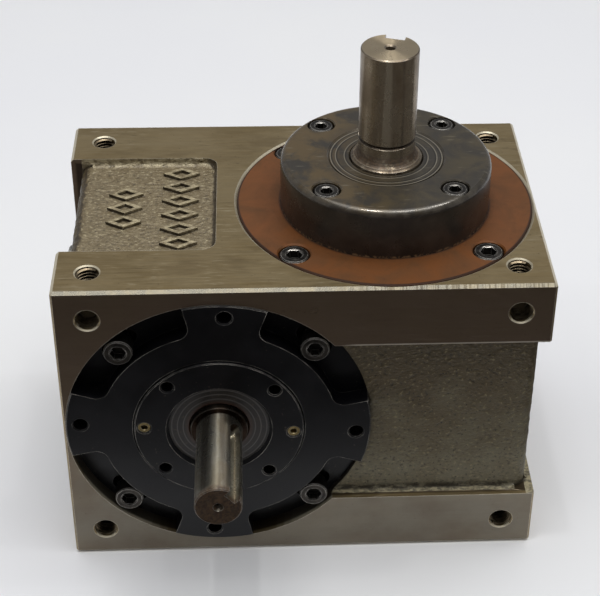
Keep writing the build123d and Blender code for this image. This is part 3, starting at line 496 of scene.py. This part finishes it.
def oily_rubber(name, centre=None):
    """Seal rubber. With a centre it also gets a seal's rings, about the line through it along Y."""
    p = Paint(name)
    cloud = p.noise(3 * MM, 4, 0.6)
    dust = p.span(p.noise(0.9 * MM, 3, offset=(2, 2, 2)), 0.6, 0.72)
    colour = p.mix(p.span(cloud, 0.3, 0.7), (24, 21, 19), (42, 36, 31))
    colour = p.coat(colour, dust, (92, 74, 54), 0.35)
    if centre is not None:
        radius = p.radius(centre, "Y")
        for groove in SEAL_GROOVES:
            colour = p.coat(colour, p.near(radius, groove, 0.3 * MM, 0.08 * MM), (88, 84, 80), 0.6)
        colour = p.coat(colour, p.span(radius, 12.5 * MM, 10.5 * MM, 0.0, 0.7), (66, 42, 28))
    return p.finish(colour, p.span(cloud, 0.3, 0.7, 0.35, 0.55), 0.0, p.bump(cloud, 0.05 * MM, 0.4))


def window_glass():
    """The level window's glass, filmed with oil."""
    p = Paint("window_glass")
    film = p.noise(4 * MM, 3)
    colour = p.mix(p.span(film, 0.4, 0.7), (214, 204, 160), (232, 228, 206))
    return p.finish(colour, p.span(film, 0.3, 0.7, 0.06, 0.16), 0.0, p.bump(film, 0.01 * MM, 0.3),
                    transmission_weight=0.85)


def pale_floor():
    """The studio floor."""
    p = Paint("pale_floor")
    cloud = p.noise(200 * MM, 3, 0.5)
    colour = p.mix(p.span(cloud, 0.3, 0.7), (233, 233, 235), (236, 236, 236))
    return p.finish(colour, 0.6, 0.0, p.bump(p.noise(1.5 * MM, 2), 0.05 * MM, 0.3))


MACHINED = machined_iron()
CHAMFER = worn_chamfer()
CAST = cast_iron()
OXIDE = black_oxide()
FLANGE = black_flange()
CAP = dark_cap()
RUBBER = oily_rubber("oily_rubber")
THREAD = plain_metal("thread_steel", (54, 45, 33), (112, 101, 82), 0.3, 0.9)
HARDENED = plain_metal("hardened_steel", (120, 120, 122), (160, 160, 160), 0.22, size=6 * MM)
RACE = plain_metal("race_steel", (176, 176, 178), (206, 206, 206), 0.12, size=5 * MM)
ZINC = plain_metal("zinc_plate", (150, 148, 140), (190, 188, 180), 0.3, worn=(220, 218, 212))
COPPER = plain_metal("dull_copper", (122, 72, 46), (168, 104, 70), 0.36)
YELLOW = plain_metal("yellow_passivated", (112, 98, 66), (152, 134, 92), 0.32, worn=(214, 206, 180))

BY_SLOT = {
    "black_flange": FLANGE,
    "brown_ring": brown_ring(),
    "dark_cap": CAP,
    "machined_cover": MACHINED,
    "brass_screws": YELLOW,
    "black_screws": OXIDE,
    "black_rubber": RUBBER,
    "bearing_steel": RACE,
    "plated_plugs": ZINC,
    "window_glass": window_glass(),
    "copper_washers": COPPER,
    "hardened_steel": HARDENED,
    "cast_housing": MACHINED,
}
BY_NODE = {
    "input_shaft": ground_steel(
        "input_steel", "Y", clean=(150, 148, 138), filmed=(104, 96, 78), end_colour=(58, 40, 29),
        metallic=0.95, rust_at=INPUT_TIP, rust_over=3 * MM,
        dark_at=FRONT - 0.6 * MM, dark_over=1.6 * MM),
    "output_shaft": ground_steel(
        "output_steel", "Z", clean=(138, 124, 102), filmed=(104, 88, 66), end_colour=(176, 160, 132),
        metallic=0.8, rust_at=CAP_TOP + 2.5 * MM, rust_over=3 * MM,
        dark_at=CAP_TOP + 8.25 * MM, dark_over=0.9 * MM),
    "output_oil_seal": CAP,
    "input_oil_seal": oily_rubber("input_seal_rubber", INPUT_AXIS),
}


def add_object(name, data):
    obj = bpy.data.objects.new(name, data)
    bpy.context.scene.collection.objects.link(obj)
    return obj


def dress(obj, material):
    obj.data.materials.clear()
    obj.data.materials.append(material)


for row in frame["record"]["subparts"]:
    dress(NODES[row["node"]], BY_NODE.get(row["node"]) or BY_SLOT[row["material_slot"]])


# ---- the housing, with its cast faces roughened -------------------------------------------------------
TINY = 0.02 * MM
GRID_STEP = 1.1 * MM      # how finely the cast faces are cut up before they are roughened
LUMP, SMALL_LUMP = 2.6 * MM, 1.25 * MM
LUMP_HEIGHT = 0.34 * MM
CAST_SWELL = 0.05 * MM    # how far the cast faces stand out on the whole
SMOOTH_CAST, SMOOTH_MACHINED = math.radians(60), math.radians(20)


def is_cast(face):
    """Whether a face lies in one of the as-cast pockets."""
    c = face.calc_center_median()
    low, high = HOUSING_LOW, HOUSING_HIGH
    if min(c.x - low.x, high.x - c.x, c.y - low.y, high.y - c.y, c.z - low.z, high.z - c.z) < TINY:
        return False
    between_rails = RAIL - TINY <= c.z <= TOP_RAIL_FOOT + TINY
    off_axis = math.hypot(c.x - INPUT_AXIS.x, c.z - INPUT_AXIS.z)
    if between_rails and off_axis > REGISTER_R + TINY:
        side = min(c.y - low.y, high.y - c.y) - SIDE_POCKET
        end = high.x - c.x - END_POCKET
        on_side = side < TINY and c.x > INPUT_AXIS.x
        on_corner = end < CAST_CORNER and side < CAST_CORNER
        if end < TINY or on_side or on_corner:
            return True
    if abs(c.y) <= high.y - RAIL + TINY:
        left = c.x - low.x - LEFT_POCKET
        deep = min(c.z - low.z, high.z - c.z) - TOP_POCKET
        if left < -TINY and abs(c.y) > high.y - RAIL - TINY:
            return False
        if left < TINY or (left < CAST_CORNER and deep < CAST_CORNER):
            return c.z > TINY
        return c.x < low.x + TOP_POCKET_LENGTH + TINY and deep < TINY
    return False


def cut(bm, geometry, place, normal):
    """Cuts the geometry by a plane and gives back all of its pieces."""
    return bmesh.ops.bisect_plane(bm, geom=geometry, dist=TINY / 4, plane_co=place, plane_no=normal)["geom"]


def cut_grid(bm, axis, step):
    """Cuts the marked faces by planes across the axis, step apart."""
    marks = bm.faces.layers.int["cast"]
    normal = Vector([1.0 if i == axis else 0.0 for i in range(3)])
    waiting = {f for f in bm.faces if f[marks]}
    values = [v.co[axis] for f in waiting for v in f.verts]
    place, last = min(values) + step * 0.5, max(values)
    while place < last:
        near = [f for f in waiting if min(v.co[axis] for v in f.verts) < place - TINY / 4]
        waiting.difference_update(near)
        crossed = [f for f in near if max(v.co[axis] for v in f.verts) > place]
        if crossed:
            borders = {part for f in crossed for part in (*f.edges, *f.verts)}
            pieces = cut(bm, list(borders) + crossed, normal * place, normal)
            faces = (piece for piece in pieces if isinstance(piece, bmesh.types.BMFace))
            waiting.update(f for f in faces if max(v.co[axis] for v in f.verts) > place + TINY / 4)
        place += step


def build_housing():
    """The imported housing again, with its cast faces cut up and roughened, and a bright front top edge."""
    bm = bmesh.new()
    bm.from_mesh(NODES["housing"].data)
    bmesh.ops.remove_doubles(bm, verts=bm.verts, dist=0.001 * MM)
    bmesh.ops.dissolve_limit(bm, angle_limit=math.radians(0.5), verts=bm.verts, edges=bm.edges)
    for wall in (HOUSING_LOW.x + LEFT_POCKET, HOUSING_HIGH.x - END_POCKET):
        cut(bm, [*bm.verts, *bm.edges, *bm.faces], (wall, 0, 0), (1, 0, 0))
    marks = bm.faces.layers.int.new("cast")
    for face in bm.faces:
        face[marks] = int(is_cast(face))
    bmesh.ops.triangulate(bm, faces=[f for f in bm.faces if f[marks]])
    for axis in range(3):
        cut_grid(bm, axis, GRID_STEP)
    bm.normal_update()
    for vert in bm.verts:
        if not vert.link_faces or not all(f[marks] for f in vert.link_faces):
            continue
        lump = noise.noise(vert.co / LUMP) * 0.62
        lump += noise.noise(vert.co / SMALL_LUMP + Vector((7, 3, 5))) * 0.38
        vert.co += vert.normal * (LUMP_HEIGHT * lump + CAST_SWELL)
    looks = (MACHINED, CAST, CHAMFER)
    for face in bm.faces:
        c, n = face.calc_center_median(), face.normal
        face.smooth = True
        look = CAST if face[marks] else MACHINED
        at_front_top = c.y < FRONT + EDGE_CHAMFER and c.z > HOUSING_HIGH.z - EDGE_CHAMFER
        if at_front_top and n.y < -0.5 and n.z > 0.5:
            look = CHAMFER
        face.material_index = looks.index(look)
    for edge in bm.edges:
        if len(edge.link_faces) == 2:
            both_cast = all(f[marks] for f in edge.link_faces)
            edge.smooth = edge.calc_face_angle(0) < (SMOOTH_CAST if both_cast else SMOOTH_MACHINED)
    mesh = bpy.data.meshes.new("housing_casting")
    bm.to_mesh(mesh)
    bm.free()
    for look in looks:
        mesh.materials.append(look)
    shell = add_object("housing_casting", mesh)
    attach(shell, "housing_body")
    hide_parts("housing")


THREAD_PITCH = 1.25 * MM
THREAD_FIRST = 1.3 * MM
THREAD_LAST = 7 * MM      # the holes of two faces cross further in
THREAD_PROFILE = ((0.06, -0.5), (-0.62, -0.12), (-0.62, 0.12), (0.06, 0.5))      # rise and depth in mm
STEPS_PER_TURN = 30


def sweep_thread(centre, out, radius):
    """Vertices and faces of the ridge in one hole: centre lies on the face, out points away from it."""
    side = out.orthogonal().normalized()
    other = out.cross(side)
    count = int((THREAD_LAST - THREAD_FIRST) / THREAD_PITCH * STEPS_PER_TURN)
    ring = len(THREAD_PROFILE)
    verts, faces = [], []
    for i in range(count + 1):
        angle = 2 * math.pi * i / STEPS_PER_TURN
        depth = THREAD_FIRST + THREAD_PITCH * i / STEPS_PER_TURN
        ray = side * math.cos(angle) + other * math.sin(angle)
        for rise, along in THREAD_PROFILE:
            verts.append(centre + ray * (radius + rise * MM) - out * (depth + along * MM))
    for i in range(count):
        for k in range(ring):
            a, b = ring * i + k, ring * i + (k + 1) % ring
            faces.append((a, b, b + ring, a + ring))
    faces.append(tuple(reversed(range(ring))))
    faces.append(tuple(ring * count + k for k in range(ring)))
    return verts, faces


def build_threads():
    """Thread ridges in the mounting holes of the top and the front."""
    verts, faces = [], []
    for name in ("top_holes", "front_holes"):
        mount = MOUNTS[name]
        out = Vector(mount["axis"])
        first, second = [i for i in range(3) if abs(out[i]) < 0.5]
        for a in (-0.5, 0.5):
            for b in (-0.5, 0.5):
                centre = Vector(mount["pos_m"])
                centre[first] += a * mount["dims"]["spacing_x_mm"] * MM
                centre[second] += b * mount["dims"]["spacing_y_mm"] * MM
                ridge, sides = sweep_thread(centre, out, mount["dims"]["hole_r_mm"] * MM)
                faces += [tuple(len(verts) + i for i in face) for face in sides]
                verts += ridge
    mesh = bpy.data.meshes.new("mounting_hole_threads")
    mesh.from_pydata(verts, [], faces)
    mesh.validate()
    bm = bmesh.new()
    bm.from_mesh(mesh)
    bmesh.ops.recalc_face_normals(bm, faces=bm.faces)
    bm.to_mesh(mesh)
    bm.free()
    threads = add_object("mounting_hole_threads", mesh)
    dress(threads, THREAD)
    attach(threads, "housing_body")


build_housing()
build_threads()


# ---- floor, light and camera ------------------------------------------------------------------------
def add_plane(name, corners, material):
    mesh = bpy.data.meshes.new(name)
    mesh.from_pydata(corners, [], [(0, 1, 2, 3)])
    obj = add_object(name, mesh)
    dress(obj, material)
    return obj


def level(low, high, z):
    """Corners of a level rectangle, from its low and high corners in X and Y."""
    return [(low[0], low[1], z), (high[0], low[1], z), (high[0], high[1], z), (low[0], high[1], z)]


def add_softbox(name, place, aim, width, height, power):
    data = bpy.data.lights.new(name, "AREA")
    data.shape = "RECTANGLE"
    data.size, data.size_y = width, height
    data.energy = power
    obj = add_object(name, data)
    obj.location = place
    obj.rotation_euler = (Vector(aim) - Vector(place)).to_track_quat("-Z", "Y").to_euler()
    return obj


FLOOR_SIZE = 4.0
FLOOR_DROP = 0.1 * MM     # how far the floor lies under the feet, so that they share no plane
CARD_RISE = 2 * MM
floor_corners = level((-FLOOR_SIZE, -FLOOR_SIZE), (FLOOR_SIZE, FLOOR_SIZE), -FLOOR_DROP)
add_plane("floor", floor_corners, pale_floor())

# Dark cards before and beside the drive. Only reflections see them. They darken its front and right side.
card_paint = Paint("dark_card").finish((46, 40, 34), 0.9)
for name, corners in (
    ("dark_card_low", level((-1.2, -1.0), (1.2, -0.12), CARD_RISE)),
    ("dark_card_high", [(-1.6, -1.0, 0), (1.6, -1.0, 0), (1.6, -1.0, 0.95), (-1.6, -1.0, 0.95)]),
    ("dark_card_right", level((0.09, -0.12), (0.6, 0.11), CARD_RISE)),
):
    card = add_plane(name, corners, card_paint)
    card.visible_camera = False
    card.visible_diffuse = False
    card.visible_shadow = False
    card.visible_transmission = False

# One wide soft light overhead, and three small lamps that also show as glints where the metal shines.
add_softbox("overhead", place=(0, 0, 1.4), aim=(0, 0, 0.05), width=1.5, height=1.2, power=15.5)
LAMPS = (((-0.22, -0.12, 2.0), 2.2), ((0.38, -0.13, 2.0), 1.2), ((0.9, 0.17, 1.8), 1.2))
LAMP_SIZE = 0.07
LAMP_AIM = (0, 0, 0.1)
GLINT_GAIN = 6.0
for number, (place, power) in enumerate(LAMPS):
    add_softbox(f"lamp_{number}", place, LAMP_AIM, LAMP_SIZE, LAMP_SIZE, power)
    glint = add_softbox(f"glint_{number}", place, LAMP_AIM, LAMP_SIZE, LAMP_SIZE, GLINT_GAIN * power)
    glint.visible_diffuse = False

world = bpy.data.worlds.new("studio")
world.use_nodes = True
background = world.node_tree.nodes["Background"]
background.inputs["Color"].default_value = (0.93, 0.95, 1.0, 1)
background.inputs["Strength"].default_value = 0.34
bpy.context.scene.world = world
bpy.context.scene.view_settings.view_transform = "Standard"

# The view: from the front, a little left of the output shaft, looking down.
CAMERA_PLACE = Vector((-0.0466, -0.47527, 0.42344))
LOOK = Vector((0.05481, 0.81818, -0.57234)).normalized()
RIGHT = Vector((0.99836, -0.05435, 0.01791)).normalized()
SENSOR = 36.0
FOCAL_PIXELS = 1581.8
IMAGE_WIDTH = 600
camera = bpy.data.cameras.new("camera")
camera.sensor_width = SENSOR
camera.lens = FOCAL_PIXELS * SENSOR / IMAGE_WIDTH
camera.shift_x = -0.0698
camera.shift_y = -0.0605
camera.clip_start = 0.01
camera_object = add_object("camera", camera)
turn = Matrix((RIGHT, RIGHT.cross(LOOK), -LOOK)).transposed().to_4x4()
camera_object.matrix_world = Matrix.Translation(CAMERA_PLACE) @ turn
bpy.context.scene.camera = camera_object
